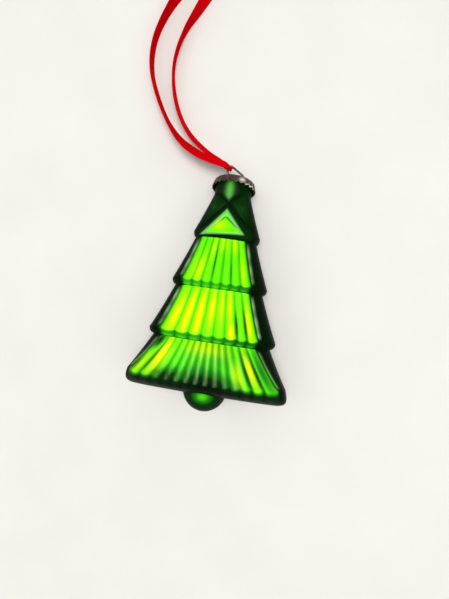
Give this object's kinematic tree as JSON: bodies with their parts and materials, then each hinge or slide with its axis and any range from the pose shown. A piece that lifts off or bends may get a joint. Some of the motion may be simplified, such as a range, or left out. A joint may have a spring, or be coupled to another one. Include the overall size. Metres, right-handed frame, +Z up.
{
  "type": "souvenir christmas tree ornament",
  "caption": "Hollow frosted green glass tree ornament with tiered fluted sides, a crimped metal cap, a sprung wire hanger and a knotted red ribbon loop.",
  "frame": {"origin": "middle of the ornament's footprint, on the surface it lies on, without the ribbon", "axes": "+Y along the tree towards its cap, +Z up out of the tree's front face, +X to the right of the front face"},
  "size_m": [0.071, 0.1967, 0.0251],
  "materials": {
    "frosted_glass": "satin",
    "cap_metal": "satin",
    "spring_wire": "polished",
    "satin_ribbon": "satin"
  },
  "bodies": {
    "hanger": {"hanger_wire": "spring_wire", "ribbon_front_strand": "satin_ribbon", "ribbon_back_strand": "satin_ribbon", "ribbon_knot": "satin_ribbon"},
    "cap": {"cap": "cap_metal"},
    "glass": {"glass_body": "frosted_glass"}
  },
  "joints": [
    {"name": "cap_on_wire", "type": "slide", "parent": "hanger", "child": "cap", "axis": [0, -0.9979, 0.0652], "range_m": [0, 0.002]},
    {"name": "glass_pull", "type": "slide", "parent": "cap", "child": "glass", "axis": [0, -0.9979, 0.0652], "range_m": [0, 0.02]}
  ]
}
